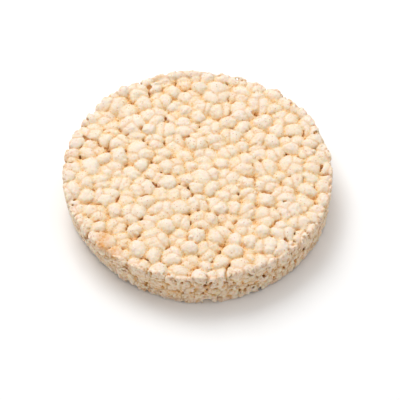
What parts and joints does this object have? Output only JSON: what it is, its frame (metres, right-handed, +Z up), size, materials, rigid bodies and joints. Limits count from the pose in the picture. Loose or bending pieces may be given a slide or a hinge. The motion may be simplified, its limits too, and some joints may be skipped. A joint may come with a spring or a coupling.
{
  "type": "puffed rice cake",
  "caption": "Round cake of puffed rice grains fused in a ring mould: rounded grains on top, a straight pressed side and a flattened underside.",
  "frame": {"origin": "middle of the cake's box at the underside, where it rests", "axes": "+Z up out of the rounded upper face, along the cake's thickness; X and Y across the round face"},
  "size_m": [0.0914, 0.0914, 0.0155],
  "materials": {
    "puffed_rice": "matt puffed starch foam, cream with tan clefts"
  },
  "bodies": {
    "root": {"rice_cake": "puffed_rice"}
  },
  "joints": []
}
